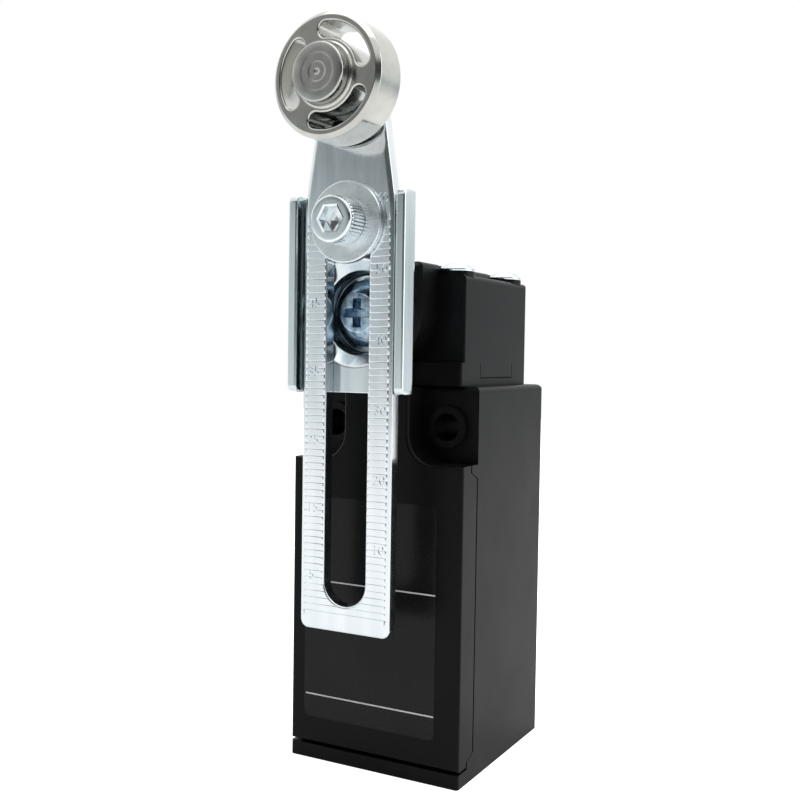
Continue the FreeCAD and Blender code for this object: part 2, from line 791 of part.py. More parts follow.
def lever_bracket():
    half = bracket_width / 2
    inner = half - sheet
    folded = both_sides([(inner, web_front, bend_round), (inner, bracket_front, sheet_round),
                         (half, bracket_front, sheet_round), (half, web_back, sheet + bend_round)])
    low = axis_height + bracket_low
    high = axis_height + bracket_high
    channel = bar(folded, low, high)
    back = web_back - over
    channel = channel.common(side_bar([(back, low, 0), (bracket_front, low, flange_corner),
                                       (bracket_front, high, flange_corner), (back, high, 0)],
                                      bracket_width + over))
    drawn = turned([(0, shaft_front), (dish_floor_radius + dish_wall, shaft_front),
                    (dish_mouth_radius, web_back + seat_gap), (0, web_back + seat_gap)], axis_height)
    bracket = channel.fuse(drawn).cut(dish_room())
    bracket = bracket.cut(shaft_flats(0, dish_floor + over, fixed_gap))
    bracket = bracket.cut(rod(M4_CAP[0] / 2 + hole_play, web_back - over, arm_back + over, 0, clamp_z))
    return bracket.removeSplitter()


def shaft_screw():
    thread, head_diameter, height = M5
    rim = head_diameter / 2
    top = dish_floor + height
    return turned([(0, dish_floor - shaft_screw_length), (thread / 2, dish_floor - shaft_screw_length),
                   (thread / 2, dish_floor), (rim, dish_floor), (rim, top - M5_CROWN), (rim - M5_CROWN, top),
                   (0, top)], axis_height)


def lever_arm():
    half = arm_width / 2
    low = axis_height - arm_tail
    high = roller_z + arm_tip_radius
    outline = both_sides([(half, low, arm_corner), (half, axis_height + arm_shoulder, arm_shoulder_round),
                          (arm_tip_radius, high, arm_tip_round)])
    arm = plate(outline, arm_back, arm_front)
    slot = rectangle(-slot_width / 2, slot_width / 2, axis_height - slot_low,
                     clamp_z + slot_width / 2, slot_width / 2 - 0.001)
    arm = arm.cut(plate(slot, arm_back - over, arm_front + over))
    return arm.cut(rod(rivet_diameter / 2 + fixed_gap, arm_back - over, arm_front + over, 0, roller_z))


def clamp_washer():
    return ring(M4_CAP[0] / 2 + hole_play, M4_WASHER[0] / 2, washer_back, washer_back + M4_WASHER[1], clamp_z)


def clamp_screw():
    thread, head_diameter, head_height = M4_CAP
    seat = washer_back + M4_WASHER[1]
    top = seat + head_height
    tip = web_back - M4_NUT[1] - nut_thread
    radius = head_diameter / 2
    screw = turned([(0, tip), (thread / 2, tip), (thread / 2, seat), (radius, seat),
                    (radius, top - fastener_chamfer), (radius - fastener_chamfer, top), (0, top)], clamp_z)
    return screw.cut(facing_front(hexagon(socket_width, socket_depth + over), 0, top - socket_depth, clamp_z))


def clamp_nut():
    across, height = M4_NUT
    nut = facing_front(hexagon(across, height), 0, web_back - height, clamp_z)
    return nut.cut(rod(M4_CAP[0] / 2 + fixed_gap, web_back - height - over, web_back + over, 0, clamp_z))


def roller_spacer():
    return ring(rivet_diameter / 2 + fixed_gap, rivet_head_diameter / 2, arm_front, roller_back - seat_gap,
                roller_z)


def roller_slot(centre):
    """Shape that cuts an arc slot with round ends through the roller; centre is its middle angle."""
    first = centre - roller_slot_angle / 2
    last = centre + roller_slot_angle / 2
    middle = (roller_slot_inner + roller_slot_outer) / 2
    bulge = math.degrees((roller_slot_outer - middle) / middle)

    def at(radius, angle):
        turn = math.radians(angle)
        return V(radius * math.cos(turn), over - roller_back, roller_z + radius * math.sin(turn))

    outer = Part.Arc(at(roller_slot_outer, first), at(roller_slot_outer, centre), at(roller_slot_outer, last))
    inner = Part.Arc(at(roller_slot_inner, last), at(roller_slot_inner, centre), at(roller_slot_inner, first))
    end_last = Part.Arc(at(roller_slot_outer, last), at(middle, last + bulge), at(roller_slot_inner, last))
    end_first = Part.Arc(at(roller_slot_inner, first), at(middle, first - bulge), at(roller_slot_outer, first))
    face = Part.Face(Part.Wire([edge.toShape() for edge in (outer, end_last, inner, end_first)]))
    return face.extrude(V(0, -roller_width - 2 * over, 0))


def roller():
    bore = rivet_diameter / 2 + running_gap
    rim = roller_diameter / 2
    hub_front = roller_front + hub_height
    body = turned([(bore, roller_back), (rim - roller_edge, roller_back), (rim, roller_back + roller_edge),
                   (rim, roller_front - roller_edge), (rim - roller_edge, roller_front),
                   (hub_radius, roller_front), (hub_radius, hub_front), (bore, hub_front)], roller_z)
    for index in range(roller_slots):
        body = body.cut(roller_slot(roller_slot_first + 360.0 / roller_slots * index))
    return body


def roller_rivet():
    radius = rivet_diameter / 2
    head = rivet_head_diameter / 2
    seat = roller_front + hub_height + seat_gap
    top = seat + rivet_head_height
    tail = arm_back - rivet_tail_height
    return turned([(0, tail), (head, tail), (head, arm_back), (radius, arm_back), (radius, seat), (head, seat),
                   (head, top - fastener_chamfer), (head - fastener_chamfer, top), (0, top)], roller_z)


PIECES = [housing, front_cover, cover_gasket, head_housing, head_gasket, head_screws, shaft_bush, shaft_seal,
          plunger_guide, lever_shaft, shaft_circlip, cam, plunger, plunger_spring, contact_block,
          fixed_contacts, terminal_clamps, terminal_screws, contact_slider, moving_contacts, contact_springs,
          lever_bracket, shaft_screw, lever_arm, clamp_washer, clamp_screw, clamp_nut, roller_spacer, roller,
          roller_rivet]

os.makedirs("parts", exist_ok=True)
for piece in PIECES:
    piece().exportStep("parts/" + piece.__name__ + ".step")
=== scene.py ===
"""Looks of a limit switch with an adjustable roller lever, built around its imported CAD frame.

Lengths on the part are in millimetres and become metres where a mesh is made; the floor and the
lights are given in metres. X is across, -Y is towards the viewer and Z is up; depth is measured from
the mounting face towards the viewer.
"""
import math

import bmesh
import bpy
from mathutils import Matrix, Vector
from mathutils.geometry import tessellate_polygon


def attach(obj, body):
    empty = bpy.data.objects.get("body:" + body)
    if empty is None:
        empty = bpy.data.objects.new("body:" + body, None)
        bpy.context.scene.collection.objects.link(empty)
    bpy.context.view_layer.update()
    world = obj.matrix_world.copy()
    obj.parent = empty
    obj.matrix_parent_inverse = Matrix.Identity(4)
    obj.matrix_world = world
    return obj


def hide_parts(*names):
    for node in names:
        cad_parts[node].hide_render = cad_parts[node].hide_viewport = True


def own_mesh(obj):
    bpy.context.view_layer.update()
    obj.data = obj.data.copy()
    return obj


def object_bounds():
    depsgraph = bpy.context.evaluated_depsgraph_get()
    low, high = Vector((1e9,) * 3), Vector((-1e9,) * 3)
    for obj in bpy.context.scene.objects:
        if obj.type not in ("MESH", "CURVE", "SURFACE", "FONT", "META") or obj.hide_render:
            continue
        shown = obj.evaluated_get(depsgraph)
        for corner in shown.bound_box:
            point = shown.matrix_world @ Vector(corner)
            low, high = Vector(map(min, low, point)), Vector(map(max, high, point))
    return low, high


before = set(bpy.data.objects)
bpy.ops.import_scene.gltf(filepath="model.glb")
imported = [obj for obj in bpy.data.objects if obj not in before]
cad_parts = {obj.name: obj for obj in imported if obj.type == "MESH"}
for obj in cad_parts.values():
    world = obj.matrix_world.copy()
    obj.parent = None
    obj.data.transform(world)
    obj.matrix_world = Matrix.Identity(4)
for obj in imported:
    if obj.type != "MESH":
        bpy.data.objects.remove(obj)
cad_box = [list(corner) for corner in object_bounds()]

MM = 0.001

# ---------------------------------------------------------------- camera
EYE = Vector((80.92, -172.22, 10.63)) * MM
HEADING = math.radians(28.618)
DOWNWARD = math.radians(2.328)
TILT = math.radians(0.854)
FOCAL, SENSOR = 47.456, 36
NEAREST, FARTHEST = 0.01, 20


def add_camera():
    level_share = math.cos(DOWNWARD)
    ahead = Vector((-math.sin(HEADING) * level_share, math.cos(HEADING) * level_share, -math.sin(DOWNWARD)))
    level = Vector((math.cos(HEADING), math.sin(HEADING), 0))
    upright = level.cross(ahead)
    right = math.cos(TILT) * level + math.sin(TILT) * upright
    up = -math.sin(TILT) * level + math.cos(TILT) * upright
    data = bpy.data.cameras.new("camera")
    data.lens = FOCAL
    data.sensor_width = SENSOR
    data.sensor_fit = "HORIZONTAL"
    data.clip_start = NEAREST
    data.clip_end = FARTHEST
    camera = bpy.data.objects.new("camera", data)
    turn = Matrix((right, up, -ahead)).transposed()
    camera.matrix_world = Matrix.Translation(EYE) @ turn.to_4x4()
    bpy.context.scene.collection.objects.link(camera)
    bpy.context.scene.camera = camera


add_camera()

# ---------------------------------------------------------------- nodes of materials
RELIEF_HEIGHT = 0.02


def link(tree, source, target):
    tree.links.new(source, target)


def coordinates(tree, stretch):
    place = tree.nodes.new("ShaderNodeTexCoord")
    mapping = tree.nodes.new("ShaderNodeMapping")
    mapping.inputs["Scale"].default_value = stretch
    link(tree, place.outputs["Object"], mapping.inputs["Vector"])
    return mapping.outputs["Vector"]


def noise(tree, vector, size, detail):
    """Noise whose blotches are about size millimetres across."""
    node = tree.nodes.new("ShaderNodeTexNoise")
    node.inputs["Scale"].default_value = 1 / (size * MM)
    node.inputs["Detail"].default_value = detail
    node.inputs["Roughness"].default_value = 0.5
    link(tree, vector, node.inputs["Vector"])
    return node.outputs["Fac"]


def ramp(tree, factor, low, high, start=0.35, end=0.65):
    """Goes from low to high while the factor goes from start to end."""
    node = tree.nodes.new("ShaderNodeMapRange")
    node.inputs["From Min"].default_value = start
    node.inputs["From Max"].default_value = end
    node.inputs["To Min"].default_value = low
    node.inputs["To Max"].default_value = high
    link(tree, factor, node.inputs["Value"])
    return node.outputs["Result"]


def reckon(tree, operation, *values):
    """Result of an operation on values, each a link or a plain number."""
    node = tree.nodes.new("ShaderNodeMath")
    node.operation = operation
    for socket, value in zip(node.inputs, values):
        if isinstance(value, (int, float)):
            socket.default_value = value
        else:
            link(tree, value, socket)
    return node.outputs[0]


def mix_colours(tree, factor, first, second, kind="MIX"):
    """Mix of two colours, each a link or a plain (red, green, blue)."""
    node = tree.nodes.new("ShaderNodeMix")
    node.data_type = "RGBA"
    node.blend_type = kind
    link(tree, factor, node.inputs["Factor"])
    for side, colour in (("A", first), ("B", second)):
        if isinstance(colour, tuple):
            node.inputs[side].default_value = (*colour, 1)
        else:
            link(tree, colour, node.inputs[side])
    return node.outputs["Result"]


def show_to_camera(tree, seen, lit, out):
    """The camera sees one surface, and everything else is lit by the other."""
    path = tree.nodes.new("ShaderNodeLightPath")
    chosen = tree.nodes.new("ShaderNodeMixShader")
    link(tree, path.outputs["Is Camera Ray"], chosen.inputs[0])
    link(tree, lit, chosen.inputs[1])
    link(tree, seen, chosen.inputs[2])
    link(tree, chosen.outputs[0], out.inputs["Surface"])


def finish_surface(name, dark, light, metallic, rough, bump, stretch=(1, 1, 1), patch=4.0, grain=0.12,
                   specular=0.5, glow=0.0):
    """Two close colours in soft patches, roughness that varies, and a fine grain in the bump."""
    material = bpy.data.materials.new(name)
    material.use_nodes = True
    tree = material.node_tree
    shader = tree.nodes["Principled BSDF"]
    drawn = coordinates(tree, stretch)
    patches = noise(tree, drawn, patch, 3)
    fine = noise(tree, drawn, grain, 2)
    link(tree, mix_colours(tree, ramp(tree, patches, 0, 1), dark, light), shader.inputs["Base Color"])
    uneven = reckon(tree, "MULTIPLY_ADD", fine, 0.5, reckon(tree, "MULTIPLY", patches, 0.5))
    link(tree, ramp(tree, uneven, rough[0], rough[1]), shader.inputs["Roughness"])
    shader.inputs["Metallic"].default_value = metallic
    shader.inputs["Specular IOR Level"].default_value = specular
    if glow:
        shader.inputs["Emission Color"].default_value = (1, 1, 1, 1)
        shader.inputs["Emission Strength"].default_value = glow
    relief = tree.nodes.new("ShaderNodeBump")
    relief.inputs["Strength"].default_value = bump
    relief.inputs["Distance"].default_value = RELIEF_HEIGHT * MM
    link(tree, fine, relief.inputs["Height"])
    link(tree, relief.outputs["Normal"], shader.inputs["Normal"])
    return material


# ---------------------------------------------------------------- materials
# Named as their slots, but washer_zinc, plate_film and print_white are looks of pieces in another slot
BRUSHED = dict(stretch=(10, 10, 1), patch=20, grain=1.6)

FINISHES = {
    "body_plastic": dict(dark=(0.0020, 0.0021, 0.0024), light=(0.0032, 0.0033, 0.0036), metallic=0,
                         rough=(0.32, 0.42), bump=0.4, grain=0.15, patch=9, specular=0.10),
    "seal_rubber": dict(dark=(0.012, 0.012, 0.012), light=(0.02, 0.02, 0.02), metallic=0,
                        rough=(0.6, 0.75), bump=0.4, specular=0.35),
    "screw_zinc": dict(dark=(0.66, 0.72, 0.75), light=(0.76, 0.80, 0.82), metallic=1,
                       rough=(0.08, 0.15), bump=0.08, patch=1.6),
    "dark_zinc": dict(dark=(0.16, 0.26, 0.36), light=(0.52, 0.64, 0.74), metallic=1,
                      rough=(0.14, 0.24), bump=0.1, patch=1.5),
    "washer_zinc": dict(dark=(0.64, 0.70, 0.73), light=(0.74, 0.78, 0.80), metallic=1,
                        rough=(0.24, 0.34), bump=0.2, patch=1.6),
    "bush_brass": dict(dark=(0.62, 0.44, 0.17), light=(0.76, 0.57, 0.26), metallic=1,
                       rough=(0.3, 0.42), bump=0.2),
    "guide_plastic": dict(dark=(0.66, 0.65, 0.60), light=(0.76, 0.75, 0.70), metallic=0,
                          rough=(0.4, 0.5), bump=0.2),
    "shaft_steel": dict(dark=(0.50, 0.50, 0.50), light=(0.62, 0.62, 0.62), metallic=1,
                        rough=(0.2, 0.34), bump=0.3, stretch=(8, 1, 8)),
    "spring_steel": dict(dark=(0.42, 0.42, 0.43), light=(0.58, 0.58, 0.58), metallic=1,
                         rough=(0.2, 0.3), bump=0.2),
    "block_plastic": dict(dark=(0.52, 0.49, 0.42), light=(0.60, 0.57, 0.50), metallic=0,
                          rough=(0.4, 0.5), bump=0.3),
    "contact_brass": dict(dark=(0.70, 0.50, 0.22), light=(0.82, 0.63, 0.32), metallic=1,
                          rough=(0.25, 0.38), bump=0.2),
    "bracket_zinc": dict(dark=(0.59, 0.65, 0.68), light=(0.67, 0.73, 0.75), metallic=1,
                         rough=(0.10, 0.18), bump=0.12, **BRUSHED),
    "arm_zinc": dict(dark=(0.68, 0.73, 0.76), light=(0.76, 0.80, 0.83), metallic=1,
                     rough=(0.10, 0.18), bump=0.12, **BRUSHED),
    "roller_nickel": dict(dark=(0.47, 0.47, 0.44), light=(0.54, 0.54, 0.51), metallic=1,
                          rough=(0.10, 0.18), bump=0.12, patch=3),
    "rivet_steel": dict(dark=(0.42, 0.42, 0.40), light=(0.48, 0.48, 0.465), metallic=1,
                        rough=(0.16, 0.24), bump=0.2, patch=2),
    "plate_film": dict(dark=(0.0055, 0.0057, 0.006), light=(0.0075, 0.0077, 0.008), metallic=0,
                       rough=(0.22, 0.3), bump=0.1, grain=0.3, patch=7, specular=0.16),
    "print_white": dict(dark=(0.45, 0.46, 0.45), light=(0.55, 0.56, 0.55), metallic=0,
                        rough=(0.45, 0.6), bump=0.2, patch=1, specular=0.3),
}
materials = {name: finish_surface(name, **look) for name, look in FINISHES.items()}

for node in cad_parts.values():
    for place in node.material_slots:
        place.material = materials[place.material.name]

# ---------------------------------------------------------------- mesh building
CREASE = 35
DOUBLED = 1e-7
LOOKS_AHEAD = 0.99999


class Skin:
    """Points (x, depth, height) in millimetres and the faces between them."""

    def __init__(self):
        self.points = []
        self.faces = []

    def loop(self, points):
        first = len(self.points)
        self.points.extend(points)
        return list(range(first, len(self.points)))

    def join(self, *loops):
        """Strips of faces from each loop to the next; a loop may be a single point."""
        for one, two in zip(loops, loops[1:]):
            longest = max(len(one), len(two))
            for index in range(longest):
                after = (index + 1) % longest
                corners = [one[index % len(one)], one[after % len(one)],
                           two[after % len(two)], two[index % len(two)]]
                self.faces.append(tuple(dict.fromkeys(corners)))

    def close(self, outer, *holes):
        """Flat face inside a loop, less its holes."""
        rings = (outer,) + holes
        order = [index for ring in rings for index in ring]
        flat = [[Vector(self.points[index]) for index in ring] for ring in rings]
        for triangle in tessellate_polygon(flat):
            self.faces.append(tuple(order[corner] for corner in triangle))

    def prism(self, *loops):
        """Strips between loops, closed by a flat face at each end."""
        self.join(*loops)
        self.close(loops[0])
        self.close(loops[-1])

    def mesh(self, name, crease=CREASE, flat=False):
        mesh = bpy.data.meshes.new(name)
        mesh.from_pydata([(x * MM, -depth * MM, z * MM) for x, depth, z in self.points], [], self.faces)
        tidy_mesh(mesh, crease, flat)
        return mesh


def tidy_mesh(mesh, crease=CREASE, flat=False):
    """Merges doubled points, turns the faces outwards and marks the edges that stay sharp; flat also marks
    the borders of the faces that look straight to the front or back."""
    form = bmesh.new()
    form.from_mesh(mesh)
    bmesh.ops.remove_doubles(form, verts=form.verts, dist=DOUBLED)
    bmesh.ops.recalc_face_normals(form, faces=form.faces)
    for face in form.faces:
        face.smooth = True
    for edge in form.edges:
        border = len({abs(face.normal.y) > LOOKS_AHEAD for face in edge.link_faces}) > 1
        edge.smooth = edge.calc_face_angle(0) < math.radians(crease) and not (flat and border)
    form.to_mesh(mesh)
    form.free()


def join_meshes(name, meshes, crease=CREASE):
    whole = bmesh.new()
    for mesh in meshes:
        whole.from_mesh(mesh)
    joined = bpy.data.meshes.new(name)
    whole.to_mesh(joined)
    whole.free()
    tidy_mesh(joined, crease)
    return joined


def plain_object(name, mesh):
    thing = bpy.data.objects.new(name, mesh)
    bpy.context.scene.collection.objects.link(thing)
    return thing


def evaluated_mesh(thing):
    """Mesh of a thing with its modifiers, or of a text."""
    bpy.context.view_layer.update()
    return bpy.data.meshes.new_from_object(thing.evaluated_get(bpy.context.evaluated_depsgraph_get()))


def carve(thing, cutter, crease=CREASE, flat=False, operation="DIFFERENCE"):
    """Takes the room of the cutter out of a thing, or joins it to the thing with UNION."""
    cut = thing.modifiers.new("cut", "BOOLEAN")
    cut.operation = operation
    cut.solver = "EXACT"
    cut.object = cutter
    mesh = evaluated_mesh(thing)
    thing.modifiers.remove(cut)
    thing.data = mesh
    bpy.data.objects.remove(cutter)
    tidy_mesh(mesh, crease, flat)


def add_piece(thing, body, slot, stands_for=None, look=None):
    """Gives a finished thing its material and its place in the frame."""
    thing.data.materials.clear()
    thing.data.materials.append(materials[look or slot])
    even = thing.modifiers.new("even shading", "WEIGHTED_NORMAL")
    even.keep_sharp = True
    if stands_for:
        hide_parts(stands_for)
    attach(thing, body)
    return thing


def soften(corners, steps=5, closed=False):
    """Points of a line through corners (a, b, rounding)."""
    points = []
    for index, (a, b, rounding) in enumerate(corners):
        here = Vector((a, b))
        end = not closed and index in (0, len(corners) - 1)
        if rounding == 0 or end:
            points.append((a, b))
            continue
        before = (Vector(corners[index - 1][:2]) - here).normalized()
        after = (Vector(corners[(index + 1) % len(corners)][:2]) - here).normalized()
        half = before.angle(after) / 2
        centre = here + (before + after).normalized() * (rounding / math.sin(half))
        first = here + before * (rounding / math.tan(half)) - centre
        last = here + after * (rounding / math.tan(half)) - centre
        sweep = first.angle(last)
        for step in range(steps + 1):
            share = step / steps
            spoke = first * math.sin((1 - share) * sweep) + last * math.sin(share * sweep)
            points.append(tuple(centre + spoke / math.sin(sweep)))
    return points


def mirrored(right):
    """Closed line from the corners of its right half, given from one end to the other."""
    return right + [(-a, b, rounding) for a, b, rounding in reversed(right)]


def inset(outline, distance):
    """The outline, given counter-clockwise, moved inwards by a distance."""
    moved = []
    for index, point in enumerate(outline):
        before = Vector(outline[index - 1])
        after = Vector(outline[(index + 1) % len(outline)])
        along = (after - before).normalized()
        moved.append((point[0] - along.y * distance, point[1] + along.x * distance))
    return moved


def edge_levels(wide, deep, at, steps=6):
    """Inset and depth of the loops of a rolled edge, from the face at a depth round to the wall."""
    levels = []
    for step in range(steps + 1):
        turn = math.radians(90 * step / steps)
        levels.append((wide * (1 - math.sin(turn)), at - deep * (1 - math.cos(turn))))
    return levels


def circle(radius, depth, z, sides=96):
    """Points round a line along the depth; radius may be a function of the angle."""
    points = []
    for index in range(sides):
        angle = 2 * math.pi * index / sides
        reach = radius(angle) if callable(radius) else radius
        points.append((reach * math.cos(angle), depth, z + reach * math.sin(angle)))
    return points


def turned(profile, z, sides=96):
    """Skin turned about a line along the depth from (radius, depth) points that end on the line or meet."""
    skin = Skin()
    loops = []
    for radius, depth in profile:
        ring = [(0.0, depth, z)] if radius == 0 else circle(radius, depth, z, sides)
        loops.append(skin.loop(ring))
    skin.join(*loops)
    if profile[0][0] > 0:
        skin.join(loops[-1], loops[0])
    return skin


def turned_piece(name, corners, z, sides=96, steps=4, crease=CREASE):
    return plain_object(name, turned(soften(corners, steps), z, sides).mesh(name, crease))


# ---------------------------------------------------------------- places, as in the frame
AXIS_Z = 17.1
CLAMP_Z = 30.1
ROLLER_Z = 49.75
ARM_BACK, ARM_FRONT = 38.3, 40.4

# ---------------------------------------------------------------- roller
ROLLER_BACK, ROLLER_FACE, HUB_FACE = 41.1, 47.3, 47.5
ROLLER_RADIUS, HUB_RADIUS, BORE = 8.85, 4.5, 3.05
BACK_ROUND, RIM_BEVEL, BEVEL_ROUND = 0.35, 0.6, 0.2
SLOT_INNER, SLOT_OUTER, SLOT_SPREAD = 5.2, 7.4, 74.0
SLOT_MIDDLES = (53, 173, 293)
SLOT_ROUND = 0.30
SLOT_STEPS, SLOT_END_STEPS = 24, 12
ROLLER_SIDES = 144


def arc(centre, radius, start, sweep, steps, ends):
    """Points (a, b) round a centre; the first and last are left out where ends is false."""
    points = []
    for step in range(steps + 1) if ends else range(1, steps):
        angle = start + sweep * step / steps
        points.append((centre[0] + radius * math.cos(angle), centre[1] + radius * math.sin(angle)))
    return points


def slot_outline(middle, grow, depth):
    """Arc slot with round ends, widened by grow."""
    reach = (SLOT_INNER + SLOT_OUTER) / 2
    half = (SLOT_OUTER - SLOT_INNER) / 2 + grow
    sweep = math.radians(SLOT_SPREAD)
    first = math.radians(middle - SLOT_SPREAD / 2)
    last = math.radians(middle + SLOT_SPREAD / 2)
    last_end = (reach * math.cos(last), reach * math.sin(last))
    first_end = (reach * math.cos(first), reach * math.sin(first))
    points = arc((0, 0), reach + half, first, sweep, SLOT_STEPS, True)
    points += arc(last_end, half, last, math.pi, SLOT_END_STEPS, False)
    points += arc((0, 0), reach - half, last, -sweep, SLOT_STEPS, True)
    points += arc(first_end, half, first + math.pi, math.pi, SLOT_END_STEPS, False)
    return [(a, depth, ROLLER_Z + b) for a, b in points]


def rim_profile():
    """Outside of the roller from its back face round to its front face."""
    return soften([(HUB_RADIUS, ROLLER_BACK, 0), (ROLLER_RADIUS, ROLLER_BACK, BACK_ROUND),
                   (ROLLER_RADIUS, ROLLER_FACE - RIM_BEVEL, BEVEL_ROUND),
                   (ROLLER_RADIUS - RIM_BEVEL, ROLLER_FACE, BEVEL_ROUND),
                   (HUB_RADIUS, ROLLER_FACE, 0)], 5)[1:-1]


def hub_profile():
    """Raised hub from the front face, rounded at its foot and edge, and back through the bore."""
    return soften([(HUB_RADIUS + 0.6, ROLLER_FACE, 0), (HUB_RADIUS + 0.15, ROLLER_FACE, 0.15),
                   (HUB_RADIUS - 0.05, HUB_FACE, 0.12), (BORE, HUB_FACE, 0)], 4)[1:] + [(BORE, ROLLER_BACK)]


def make_roller():
    skin = Skin()
    outside = [skin.loop(circle(radius, depth, ROLLER_Z, ROLLER_SIDES)) for radius, depth in rim_profile()]
    inside = [skin.loop(circle(radius, depth, ROLLER_Z, ROLLER_SIDES)) for radius, depth in hub_profile()]
    skin.join(*outside)
    skin.join(*inside)
    levels = edge_levels(SLOT_ROUND, SLOT_ROUND, ROLLER_FACE)
    levels += edge_levels(SLOT_ROUND, -SLOT_ROUND, ROLLER_BACK)[::-1]
    front_mouths = []
    back_mouths = []
    for middle in SLOT_MIDDLES:
        rings = [skin.loop(slot_outline(middle, grow, depth)) for grow, depth in levels]
        skin.join(*rings)
        front_mouths.append(rings[0])
        back_mouths.append(rings[-1])
    skin.close(outside[-1], inside[0], *front_mouths)
    skin.close(outside[0], inside[-1], *back_mouths)
    roller = plain_object("roller_detail", skin.mesh("roller_detail", 40, True))
    add_piece(roller, "roller", "roller_nickel", "roller")


RIVET_BACK, RIVET_SEAT, RIVET_TOP = 37.15, 47.6, 49.3
RIVET_SHANK, RIVET_HEAD = 3.0, 4.15


def make_rivet():
    """Rivet with a bevelled back head, and shallow rings in its front head."""
    back_head = [(0, RIVET_BACK, 0), (2.6, RIVET_BACK, 0), (4.1, RIVET_BACK + 0.55, 0.4),
                 (RIVET_HEAD, ARM_BACK, 0.05), (RIVET_SHANK, ARM_BACK, 0)]
    front_head = [(RIVET_SHANK, RIVET_SEAT, 0), (RIVET_HEAD, RIVET_SEAT, 0.1), (RIVET_HEAD, RIVET_TOP, 0.3)]
    rings = [(2.75, RIVET_TOP, 0.6), (2.45, RIVET_TOP - 0.03, 0.6), (1.5, RIVET_TOP - 0.02, 0.4),
             (1.2, RIVET_TOP - 0.06, 0.3), (0.5, RIVET_TOP - 0.04, 0.2), (0.25, RIVET_TOP - 0.1, 0.15),
             (0, RIVET_TOP - 0.12, 0)]
    rivet = turned_piece("roller_rivet_detail", back_head + front_head + rings, ROLLER_Z, 96, 4, 50)
    add_piece(rivet, "arm", "rivet_steel", "roller_rivet")


make_roller()
make_rivet()

# ---------------------------------------------------------------- arm
ARM_HALF, ARM_LOW, ARM_CORNER = 7.65, -30.3, 1.3
TAPER_FROM, TAPER_ROUND = 32.5, 6
TIP_HALF, TIP_TOP, TIP_ROUND = 4.4, 54.15, 4.2
SLOT_HALF, SLOT_LOW, SLOT_TOP = 3.6, -26.4, 33.7
ARM_EDGE, ARM_ROLL = 0.3, 0.8
SLOT_EDGE, SLOT_ROLL = 0.22, 0.35
WALL_STEP = 4
SCALE_ZERO, SCALE_STEP, SCALE_LINES = -27.5, 1.01, 58
GROOVE_DEPTH, GROOVE_HALF, GROOVE_OVER = 0.03, 0.085, 1
FIRST_FIVE, FIRST_TEN, NUMBER_STEP = -22.17, -17.44, 10.15
NUMBER_SIZE, NUMBER_SIDE = 2.1, 5.7
NUMBER_HALF, NUMBER_LIFT = 0.25, 0.12
ARM_CREASE = 40


def add_wall(skin, outline, wide, deep, inside):
    """Wall of a plate round an outline, with rolled edges; returns its loops in the front and back faces."""
    levels = edge_levels(wide, deep, ARM_FRONT) + edge_levels(deep / 2, -deep / 2, ARM_BACK)[::-1]
    rings = []
    for distance, depth in levels:
        shifted = inset(outline, -distance if inside else distance)
        rings.append(skin.loop([(a, depth, b) for a, b in shifted]))
    skin.join(*rings)
    return rings[0], rings[-1]


def dense(outline, longest):
    """The outline with its long straight parts divided."""
    points = []
    for index, point in enumerate(outline):
        after = outline[(index + 1) % len(outline)]
        count = max(1, round(math.dist(point, after) / longest))
        for part in range(count):
            share = part / count
            points.append((point[0] + (after[0] - point[0]) * share,
                           point[1] + (after[1] - point[1]) * share))
    return points


def arm_mesh():
    outer = soften(mirrored([(ARM_HALF, ARM_LOW, ARM_CORNER), (ARM_HALF, TAPER_FROM, TAPER_ROUND),
                             (TIP_HALF, TIP_TOP, TIP_ROUND)]), 10, True)
    end_round = SLOT_HALF - 0.001
    slot = soften([(-SLOT_HALF, SLOT_LOW, end_round), (SLOT_HALF, SLOT_LOW, end_round),
                   (SLOT_HALF, SLOT_TOP, end_round), (-SLOT_HALF, SLOT_TOP, end_round)], 16, True)
    skin = Skin()
    outer_front, outer_back = add_wall(skin, dense(outer, WALL_STEP), ARM_ROLL, ARM_EDGE, False)
    slot_front, slot_back = add_wall(skin, dense(slot, WALL_STEP), SLOT_ROLL, SLOT_EDGE, True)
    skin.close(outer_front, slot_front)
    skin.close(outer_back, slot_back)
    return skin.mesh("lever_arm_detail", ARM_CREASE, True)


def scale_cutter():
    """The engraved lines, one V groove for each millimetre of the scale."""
    skin = Skin()
    end = ARM_HALF + GROOVE_OVER
    for line in range(SCALE_LINES):
        z = SCALE_ZERO + line * SCALE_STEP
        skin.prism(*[skin.loop([(x, ARM_FRONT + GROOVE_DEPTH, z - 2 * GROOVE_HALF),
                                (x, ARM_FRONT + GROOVE_DEPTH, z + 2 * GROOVE_HALF),
                                (x, ARM_FRONT - GROOVE_DEPTH, z)]) for x in (-end, end)])
    return plain_object("scale_cutter", skin.mesh("scale_cutter"))


def number_mesh(value):
    """Solid number where it is engraved: tens on the right leg and fives on the left."""
    text = bpy.data.curves.new("number", "FONT")
    text.body = str(value)
    text.size = NUMBER_SIZE * MM
    text.align_x = "CENTER"
    text.align_y = "CENTER"
    text.extrude = NUMBER_HALF * MM
    text.resolution_u = 3
    thing = plain_object("number", text)
    if value % 10 == 0:
        side, z = NUMBER_SIDE, FIRST_TEN + (value // 10 - 1) * NUMBER_STEP
    else:
        side, z = -NUMBER_SIDE, FIRST_FIVE + value // 10 * NUMBER_STEP
    thing.matrix_world = (Matrix.Translation((side * MM, -(ARM_FRONT + NUMBER_LIFT) * MM, z * MM))
                          @ Matrix.Rotation(math.radians(90), 4, "X"))
    mesh = evaluated_mesh(thing)
    mesh.transform(thing.matrix_world)
    bpy.data.objects.remove(thing)
    return mesh


